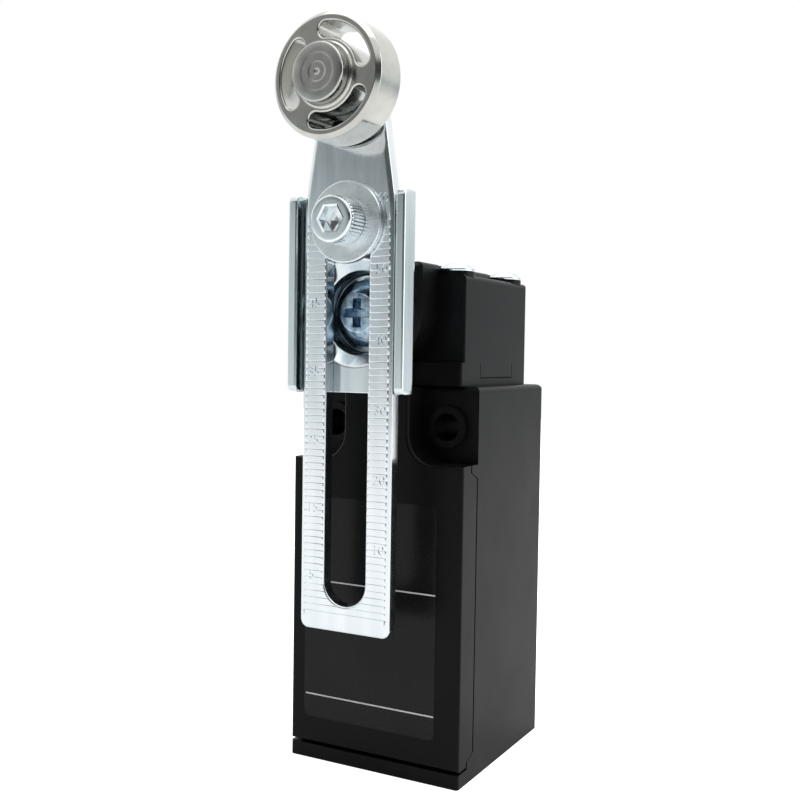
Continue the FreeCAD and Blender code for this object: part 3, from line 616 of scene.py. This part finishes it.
def make_arm():
    arm = plain_object("lever_arm_detail", arm_mesh())
    numbers = join_meshes("number_cutter", [number_mesh(value) for value in range(5, 65, 5)])
    carve(arm, plain_object("number_cutter", numbers), ARM_CREASE, True)
    carve(arm, scale_cutter(), ARM_CREASE, True)
    add_piece(arm, "arm", "arm_zinc", "lever_arm")


make_arm()

# ---------------------------------------------------------------- bracket
BRACKET_HALF, BRACKET_INNER = 9.85, 8.35
BRACKET_LOW, BRACKET_HIGH = 5.2, 34.4
WEB_BACK, WEB_FRONT, BRACKET_FRONT = 36.75, 38.25, 41.4
FOLD_OUTSIDE, FOLD_INSIDE, FLANGE_EDGE = 1.9, 0.4, 0.3
FLANGE_CORNER = 1.0
CORNER_SHARES = (0.2, 0.35, 0.5, 0.7, 1.0)
SHEET_EDGE, SHEET_STEPS = 0.16, 4
SHAFT_FRONT, DISH_FLOOR, DISH_KNEE = 32.5, 34.0, 36.7
DISH_RADIUS, MOUTH_START, MOUTH_END = 6.0, 8.03, 8.33
MOUTH_CLEAR = 0.002
DISH_OUTSIDE, DISH_OVERLAP = 7.2, 0.3
DISH_SIDES = 160
SPIGOT_RADIUS, SPIGOT_FLAT = 5.05, 4.25
CLAMP_HOLE = 2.1


def folded_sheet():
    """The sheet with its two flanges, stacked from cross sections."""
    levels = edge_levels(SHEET_EDGE, -SHEET_EDGE, 0, SHEET_STEPS)
    levels += [(0, FLANGE_CORNER * share) for share in CORNER_SHARES]
    heights = [(shrink, BRACKET_LOW + rise) for shrink, rise in levels]
    heights += [(shrink, BRACKET_HIGH - rise) for shrink, rise in levels[::-1]]
    skin = Skin()
    rings = []
    for shrink, z in heights:
        short = FLANGE_CORNER - min(z - BRACKET_LOW, BRACKET_HIGH - z, FLANGE_CORNER)
        front = BRACKET_FRONT - FLANGE_CORNER + math.sqrt(FLANGE_CORNER ** 2 - short ** 2)
        outline = soften(mirrored([(BRACKET_HALF, WEB_BACK, FOLD_OUTSIDE), (BRACKET_HALF, front, FLANGE_EDGE),
                                   (BRACKET_INNER, front, FLANGE_EDGE),
                                   (BRACKET_INNER, WEB_FRONT, FOLD_INSIDE)]), 6, True)
        rings.append(skin.loop([(a, b, z) for a, b in inset(outline, shrink)]))
    skin.prism(*rings)
    return plain_object("lever_bracket_detail", skin.mesh("lever_bracket_detail"))


def dish_cutter():
    """Room inside the drawn dish: a straight wall and a shallow flare that runs out into the web."""
    mouth = WEB_FRONT + MOUTH_CLEAR
    profile = soften([(0, DISH_FLOOR, 0), (DISH_RADIUS, DISH_FLOOR, 0.35), (DISH_RADIUS, DISH_KNEE, 1.0),
                      (MOUTH_START, mouth, 0.8), (MOUTH_END, mouth, 0), (MOUTH_END, BRACKET_FRONT, 0),
                      (0, BRACKET_FRONT, 0)], 8)
    return plain_object("dish_cutter", turned(profile, AXIS_Z, DISH_SIDES).mesh("dish_cutter"))


def dish_back():
    """Outside of the drawn dish."""
    inside_web = WEB_BACK + DISH_OVERLAP
    profile = soften([(0, SHAFT_FRONT, 0), (DISH_OUTSIDE, SHAFT_FRONT, 0.9), (DISH_OUTSIDE + 0.25, 35.6, 1.0),
                      (8.5, inside_web, 0), (0, inside_web, 0)], 6)
    return plain_object("dish_back", turned(profile, AXIS_Z, DISH_SIDES).mesh("dish_back"))


def spigot_cutter():
    """Hole with two flats for the end of the shaft."""
    sides = 64
    outline = []
    for side in range(sides):
        angle = 2 * math.pi * side / sides
        across = max(-SPIGOT_FLAT, min(SPIGOT_FLAT, SPIGOT_RADIUS * math.cos(angle)))
        outline.append((across, SPIGOT_RADIUS * math.sin(angle)))
    skin = Skin()
    skin.prism(*[skin.loop([(a, depth, AXIS_Z + b) for a, b in outline])
                 for depth in (SHAFT_FRONT - 1, DISH_FLOOR + 1)])
    return plain_object("spigot_cutter", skin.mesh("spigot_cutter"))


def clamp_hole_cutter():
    back, front = WEB_BACK - 1, WEB_FRONT + 0.5
    skin = turned([(0, back), (CLAMP_HOLE, back), (CLAMP_HOLE, front), (0, front)], CLAMP_Z, 64)
    return plain_object("hole_cutter", skin.mesh("hole_cutter"))


def make_bracket():
    bracket = folded_sheet()
    carve(bracket, dish_back(), operation="UNION")
    for cutter in (dish_cutter(), spigot_cutter(), clamp_hole_cutter()):
        carve(bracket, cutter, CREASE, True)
    add_piece(bracket, "lever", "bracket_zinc", "lever_bracket")


make_bracket()

# ---------------------------------------------------------------- clamp of the arm
WASHER_BACK, WASHER_FRONT = 40.45, 41.45
WASHER_INNER, WASHER_RADIUS = 2.1, 6.0
SHANK_END, SHANK_RADIUS = 32.95, 2.0
CAP_FRONT, CAP_RADIUS, CAP_NECK = 45.45, 3.5, 3.4
CAP_SIDES = 240
KNURL_TEETH, KNURL_DEPTH = 40, 0.13
SOCKET_HALF, SOCKET_BEVEL, SOCKET_FLOOR = 1.75, 0.25, 43.2
NUT_BACK, NUT_FRONT, NUT_HALF, NUT_BEVEL = 33.55, 36.75, 3.5, 0.4


def hexagon_reach(half):
    """Distance from the axis to a hexagon with corners at either side, half its width across flats."""
    return lambda angle: half / math.cos(math.radians((math.degrees(angle) % 60) - 30))


def knurl_reach(angle):
    """Distance from the axis to the straight knurl of the cap screw."""
    turn = (angle * KNURL_TEETH / (2 * math.pi)) % 1
    return CAP_RADIUS - KNURL_DEPTH * (1 - abs(2 * turn - 1)) ** 1.5


def make_cap_screw():
    shank = [(SHANK_RADIUS - 0.3, SHANK_END), (SHANK_RADIUS, SHANK_END + 0.3), (SHANK_RADIUS, WASHER_FRONT)]
    side = [(3.2, WASHER_FRONT), (3.42, WASHER_FRONT + 0.12), (knurl_reach, WASHER_FRONT + 0.3),
            (knurl_reach, CAP_FRONT - 0.75), (CAP_NECK, CAP_FRONT - 0.6)]
    face = soften([(CAP_NECK, CAP_FRONT - 0.6, 0), (CAP_NECK, CAP_FRONT, 0.4), (2.6, CAP_FRONT, 0)], 6)[1:]
    socket = [(hexagon_reach(SOCKET_HALF + SOCKET_BEVEL), CAP_FRONT),
              (hexagon_reach(SOCKET_HALF), CAP_FRONT - 0.22), (hexagon_reach(SOCKET_HALF), SOCKET_FLOOR),
              (hexagon_reach(0.9), SOCKET_FLOOR - 0.1)]
    skin = Skin()
    rings = [skin.loop([(0.0, SHANK_END, CLAMP_Z)])]
    for reach, depth in shank + side + face + socket:
        rings.append(skin.loop(circle(reach, depth, CLAMP_Z, CAP_SIDES)))
    rings.append(skin.loop([(0.0, SOCKET_FLOOR - 0.45, CLAMP_Z)]))
    skin.join(*rings)
    screw = plain_object("clamp_screw_detail", skin.mesh("clamp_screw_detail", 30))
    add_piece(screw, "lever", "screw_zinc", "clamp_screw")


def make_washer():
    corners = [(WASHER_INNER, WASHER_BACK, 0), (WASHER_RADIUS, WASHER_BACK, 0.2),
               (WASHER_RADIUS, WASHER_FRONT, 0.28), (WASHER_INNER, WASHER_FRONT, 0)]
    washer = turned_piece("clamp_washer_detail", corners, CLAMP_Z, 128, 5)
    add_piece(washer, "lever", "screw_zinc", "clamp_washer", "washer_zinc")


def nut_reach(radius):
    """Distance from the axis to the nut's flats, or to a circle where that is nearer."""
    flats = hexagon_reach(NUT_HALF)
    return lambda angle: min(radius, flats(angle))


def make_nut():
    corner = NUT_HALF / math.cos(math.radians(30))
    skin = Skin()
    rings = [skin.loop(circle(reach, depth, CLAMP_Z)) for reach, depth in
             ((2.05, NUT_FRONT), (nut_reach(3.4), NUT_FRONT), (nut_reach(corner), NUT_FRONT - NUT_BEVEL),
              (nut_reach(corner), NUT_BACK + NUT_BEVEL), (nut_reach(3.4), NUT_BACK), (2.3, NUT_BACK),
              (2.05, NUT_BACK + 0.2))]
    skin.join(*rings)
    skin.join(rings[-1], rings[0])
    nut = plain_object("clamp_nut_detail", skin.mesh("clamp_nut_detail", 25))
    add_piece(nut, "lever", "screw_zinc", "clamp_nut")


make_cap_screw()
make_washer()
make_nut()

# ---------------------------------------------------------------- cross-recessed screws
CROSS_SLOPE, CROSS_SIDE_SLOPE, CROSS_ABOVE = 0.28, 0.35, 0.5
SCREW_FLOOR, SCREW_TOP = 34.0, 37.8
SCREW_END, SCREW_SHANK = 22.0, 2.5
SCREW_BEVEL = 0.2
HEAD_SCREW_END, HEAD_SCREW_SEAT, HEAD_SCREW_TOP = 2.9, 24.0, 25.4
HEAD_SCREW_SIDES = 64
HEAD_SCREW_PLACES = [(x, depth) for x in (-9.4, 9.4) for depth in (4.4, 23.2)]


def cross_outline(length, width):
    """Plus shape with arms of half length and half width, as (a, b) points."""
    quarter = [(length, -width), (length, width), (width, width)]
    points = []
    for turn in range(4):
        for a, b in quarter:
            for _ in range(turn):
                a, b = -b, a
            points.append((a, b))
    return points


def cross_cutter(place, length, width, depth):
    """Tapered cross, mapped into space by place(a, b, height)."""
    skin = Skin()
    rings = []
    for height in (CROSS_ABOVE, -depth):
        grow = height * CROSS_SLOPE
        outline = cross_outline(length + grow, width + grow * CROSS_SIDE_SLOPE)
        rings.append(skin.loop([place(a, b, height) for a, b in outline]))
    skin.prism(*rings)
    return plain_object("cross_cutter", skin.mesh("cross_cutter", 10))


def bevel_edges(thing, width):
    bevel = thing.modifiers.new("soft edges", "BEVEL")
    bevel.width = width * MM
    bevel.segments = 2
    bevel.limit_method = "ANGLE"
    bevel.angle_limit = math.radians(40)
    bevel.harden_normals = False


def make_shaft_screw():
    corners = [(0, SCREW_END, 0), (SCREW_SHANK - 0.3, SCREW_END, 0), (SCREW_SHANK, SCREW_END + 0.3, 0),
               (SCREW_SHANK, SCREW_FLOOR, 0), (4.9, SCREW_FLOOR, 0.15), (5.0, SCREW_FLOOR + 1.5, 0.35),
               (2.95, SCREW_TOP - 0.1, 0.4), (0, SCREW_TOP, 0)]
    screw = turned_piece("shaft_screw_detail", corners, AXIS_Z, 96, 5, 45)
    carve(screw, cross_cutter(lambda a, b, height: (a, SCREW_TOP + height, AXIS_Z + b), 2.2, 0.7, 2.0))
    bevel_edges(screw, SCREW_BEVEL)
    add_piece(screw, "lever", "dark_zinc", "shaft_screw")


def head_screw_blank(x, depth):
    """Screw that stands upright at a place, without its recess."""
    top = HEAD_SCREW_TOP
    profile = soften([(1.5, HEAD_SCREW_END, 0), (1.5, HEAD_SCREW_SEAT, 0), (2.7, HEAD_SCREW_SEAT, 0.1),
                      (2.75, HEAD_SCREW_SEAT + 0.45, 0.3), (2.0, top - 0.2, 1.5), (0.6, top, 0)], 4)
    skin = Skin()
    rings = [skin.loop([(x, depth, HEAD_SCREW_END)])]
    for radius, z in profile:
        ring = []
        for side in range(HEAD_SCREW_SIDES):
            angle = 2 * math.pi * side / HEAD_SCREW_SIDES
            ring.append((x + radius * math.cos(angle), depth + radius * math.sin(angle), z))
        rings.append(skin.loop(ring))
    rings.append(skin.loop([(x, depth, top)]))
    skin.join(*rings)
    return plain_object("screw", skin.mesh("screw"))


def head_screw(x, depth):
    """Mesh of a screw with its recess, each turned another way."""
    turn = math.radians(20 + 25 * (x > 0) + 30 * (depth > 10))

    def place(a, b, height):
        return (x + a * math.cos(turn) - b * math.sin(turn), depth + a * math.sin(turn) + b * math.cos(turn),
                HEAD_SCREW_TOP + height)

    screw = head_screw_blank(x, depth)
    carve(screw, cross_cutter(place, 1.75, 0.42, 0.9))
    mesh = screw.data
    bpy.data.objects.remove(screw)
    return mesh


def make_head_screws():
    """Low domed heads on the four pads of the head."""
    mesh = join_meshes("head_screws_detail", [head_screw(x, depth) for x, depth in HEAD_SCREW_PLACES])
    add_piece(plain_object("head_screws_detail", mesh), "body", "screw_zinc", "head_screws")


make_shaft_screw()
make_head_screws()


def make_spring():
    """The spring as it is in CAD, in a mesh of its own."""
    spring = plain_object("plunger_spring_detail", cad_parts["plunger_spring"].data.copy())
    add_piece(spring, "body", "spring_steel", "plunger_spring")
    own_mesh(spring)


make_spring()

# ---------------------------------------------------------------- bare name plate on the cover
PLATE_LEFT, PLATE_RIGHT, PLATE_LOW, PLATE_HIGH = -12.5, 10.9, -47.2, -11.6
PLATE_CORNER = 1.0
COVER_FRONT = 31.7
PLATE_BACK, PLATE_FRONT, PRINT_FRONT = COVER_FRONT - 0.02, COVER_FRONT + 0.05, COVER_FRONT + 0.07
RULE_HEIGHTS, RULE_HALF = (-25.1, -43.55), 0.11
RULE_LEFT, RULE_RIGHT = PLATE_LEFT + 0.3, PLATE_RIGHT - 0.1


def flat_strip(skin, left, right, low, high, back, front, rounding=0.0):
    """Thin plate with rounded corners."""
    outline = soften([(left, low, rounding), (right, low, rounding), (right, high, rounding),
                      (left, high, rounding)], 5, True)
    skin.prism(*[skin.loop([(a, depth, b) for a, b in outline]) for depth in (back, front)])


def make_name_plate():
    skin = Skin()
    flat_strip(skin, PLATE_LEFT, PLATE_RIGHT, PLATE_LOW, PLATE_HIGH, PLATE_BACK, PLATE_FRONT, PLATE_CORNER)
    plate = plain_object("name_plate", skin.mesh("name_plate"))
    add_piece(plate, "body", "body_plastic", look="plate_film")
    skin = Skin()
    for z in RULE_HEIGHTS:
        flat_strip(skin, RULE_LEFT, RULE_RIGHT, z - RULE_HALF, z + RULE_HALF, PLATE_FRONT, PRINT_FRONT)
    rules = plain_object("plate_rules", skin.mesh("plate_rules"))
    add_piece(rules, "body", "body_plastic", look="print_white")


make_name_plate()

# ---------------------------------------------------------------- thread of the cable entry


def make_entry_thread():
    """Inner thread, pitch 1.5, as a ridge that winds round the wall of the entry."""
    wall, crest, pitch = 9.18, 8.62, 1.5
    centre_depth, low, high = 14.512, -53.0, -44.4
    ridge = ((wall, 0.05), (crest, 0.62), (crest, 0.88), (wall, 1.45))
    sides = 72
    turns = (high - low - pitch) / pitch
    skin = Skin()
    rings = []
    for step in range(round(turns * sides) + 1):
        angle = 2 * math.pi * step / sides
        z = low + pitch * step / sides
        rings.append(skin.loop([(radius * math.cos(angle), centre_depth + radius * math.sin(angle), z + rise)
                                for radius, rise in ridge]))
    skin.prism(*rings)
    add_piece(plain_object("entry_thread", skin.mesh("entry_thread", 30)), "body", "body_plastic")


make_entry_thread()

# ---------------------------------------------------------------- floor
FLOOR_SIDE, FLOOR_GAP = 0.9, 0.00005
FLOOR_GLOW, CAMERA_GLOW = 0.05, 0.7


def floor_paint():
    """Pale paint, a little brighter to the camera so that the floor runs into the white background."""
    paint = finish_surface("floor_paint", (0.86, 0.86, 0.86), (0.9, 0.9, 0.9), 0, (0.5, 0.6), 0.05,
                           patch=120, grain=2, glow=FLOOR_GLOW)
    tree = paint.node_tree
    shader = tree.nodes["Principled BSDF"]
    extra = tree.nodes.new("ShaderNodeEmission")
    extra.inputs["Strength"].default_value = CAMERA_GLOW
    both = tree.nodes.new("ShaderNodeAddShader")
    link(tree, shader.outputs[0], both.inputs[0])
    link(tree, extra.outputs[0], both.inputs[1])
    show_to_camera(tree, both.outputs[0], shader.outputs[0], tree.nodes["Material Output"])
    return paint


def add_floor():
    side = FLOOR_SIDE
    low = cad_box[0][2] - FLOOR_GAP
    corners = [(-side, -side, low), (side, -side, low), (side, side, low), (-side, side, low)]
    mesh = bpy.data.meshes.new("floor")
    mesh.from_pydata(corners, [], [(0, 1, 2, 3)])
    floor = plain_object("floor", mesh)
    floor.data.materials.append(floor_paint())


# ---------------------------------------------------------------- light and background
# Studio in front of the object and behind it, as (sine of the elevation, shade, tint)
FRONT_SKY = [(-0.24, 0.95, 1), (-0.07, 0.85, 1), (0.0, 0.74, 1), (0.035, 0.68, 1), (0.087, 0.68, 1),
             (0.122, 0.62, 1), (0.144, 0.46, 1), (0.174, 0.33, 0.6), (0.20, 0.32, 0.2), (0.24, 0.36, 0),
             (0.36, 0.44, 0), (0.5, 0.85, 0), (0.75, 1.0, 0)]
BACK_SKY = [(-0.1, 1.0, 1), (0.0, 0.75, 1), (0.05, 0.64, 1), (0.1, 0.70, 1), (0.2, 0.95, 1), (0.4, 1.0, 1)]
# Share of it that is left in front near the horizon, by the X of the direction, in the same form
ACROSS = [(-0.56, 1.0, 0), (-0.48, 0.72, 0), (-0.3, 0.25, 0), (1.0, 0.2, 0)]
STUDIO_STRENGTH = 1.15


def add_light(name, place, target, size, power):
    data = bpy.data.lights.new(name, "AREA")
    data.shape = "RECTANGLE"
    data.size, data.size_y = size
    data.energy = power
    light = bpy.data.objects.new(name, data)
    place = Vector(place)
    facing = (Vector(target) - place).to_track_quat("-Z", "Y")
    light.matrix_world = Matrix.Translation(place) @ facing.to_matrix().to_4x4()
    bpy.context.scene.collection.objects.link(light)


def bands(tree, part, levels):
    """Colour by one part of the direction; where there is tint, the darker it is, the bluer it is."""
    node = tree.nodes.new("ShaderNodeValToRGB")
    stops = node.color_ramp.elements
    while len(stops) < len(levels):
        stops.new(0.5)
    for stop, (sine, shade, tint) in zip(stops, levels):
        missing = tint * (1 - shade)
        stop.position = (sine + 1) / 2
        stop.color = (shade * (1 - 0.21 * missing), shade, shade * (1 + 0.05 * missing), 1)
    link(tree, ramp(tree, part, 0, 1, -1, 1), node.inputs["Fac"])
    return node.outputs["Color"]


def studio_colour(tree):
    """Pale behind, at the left and below, and darker in front just above the horizon, most at the right."""
    place = tree.nodes.new("ShaderNodeTexCoord")
    parts = tree.nodes.new("ShaderNodeSeparateXYZ")
    link(tree, place.outputs["Generated"], parts.inputs["Vector"])
    x, y, z = (parts.outputs[name] for name in "XYZ")
    near_horizon = reckon(tree, "MULTIPLY", ramp(tree, z, 0, 1, -0.08, 0.02), ramp(tree, z, 1, 0, 0.35, 0.5))
    front = mix_colours(tree, near_horizon, bands(tree, z, FRONT_SKY), bands(tree, x, ACROSS), "MULTIPLY")
    behind = reckon(tree, "MAXIMUM", ramp(tree, y, 0, 1, -0.35, 0.25), ramp(tree, x, 1, 0, -0.78, -0.62))
    return mix_colours(tree, behind, front, bands(tree, z, BACK_SKY))


def add_background():
    """The studio lights the object, and the camera sees plain white."""
    world = bpy.data.worlds.new("studio")
    world.use_nodes = True
    tree = world.node_tree
    tree.nodes.clear()
    lit = tree.nodes.new("ShaderNodeBackground")
    lit.inputs["Strength"].default_value = STUDIO_STRENGTH
    link(tree, studio_colour(tree), lit.inputs["Color"])
    seen = tree.nodes.new("ShaderNodeBackground")
    seen.inputs["Color"].default_value = (1, 1, 1, 1)
    show_to_camera(tree, seen.outputs[0], lit.outputs[0], tree.nodes.new("ShaderNodeOutputWorld"))
    bpy.context.scene.world = world


add_floor()
add_background()
add_light("overhead", (0.05, 0.05, 0.7), (0, 0, 0), (0.9, 0.7), 2.6)
add_light("right_side", (0.7, 0.25, 0.25), (0, 0, 0), (0.5, 0.6), 2)
bpy.context.scene.view_settings.view_transform = "Standard"

# ---------------------------------------------------------------- last update of the scene
bpy.context.view_layer.update()
